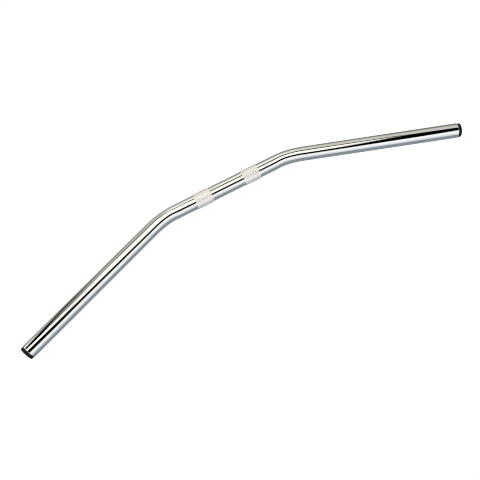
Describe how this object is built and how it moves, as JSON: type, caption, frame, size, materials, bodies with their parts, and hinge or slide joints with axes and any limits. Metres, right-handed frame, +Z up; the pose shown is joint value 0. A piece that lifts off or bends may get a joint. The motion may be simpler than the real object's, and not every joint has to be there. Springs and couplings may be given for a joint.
{
  "type": "motorcycle handlebar",
  "caption": "Low drag handlebar: a chromed steel tube bent back on each side, knurled where the clamps grip it, with black plugs in its ends.",
  "frame": {"origin": "on the tube's centre line, midway between the two knurled clamp sleeves", "axes": "+X along the straight centre section towards the rider's right hand, -Y back towards the rider, +Z up out of the flat plane that the whole bar lies in"},
  "size_m": [0.7256, 0.1152, 0.0236],
  "materials": {
    "polished_chrome": "bright decorative chrome plating, mirror polished",
    "knurled_chrome": "fine diamond knurl under chrome plating, which looks satin white",
    "black_plastic": "satin black moulded polyethylene"
  },
  "bodies": {
    "bar": {"handlebar_tube": "polished_chrome", "left_knurled_sleeve": "knurled_chrome", "right_knurled_sleeve": "knurled_chrome"},
    "left_plug": {"left_end_plug": "black_plastic"},
    "right_plug": {"right_end_plug": "black_plastic"}
  },
  "joints": [
    {"name": "left_plug_pull", "type": "slide", "parent": "bar", "child": "left_plug", "axis": [-0.9367, -0.3502, 0], "range_m": [0, 0.022]},
    {"name": "right_plug_pull", "type": "slide", "parent": "bar", "child": "right_plug", "axis": [0.9367, -0.3502, 0], "range_m": [0, 0.022]}
  ]
}
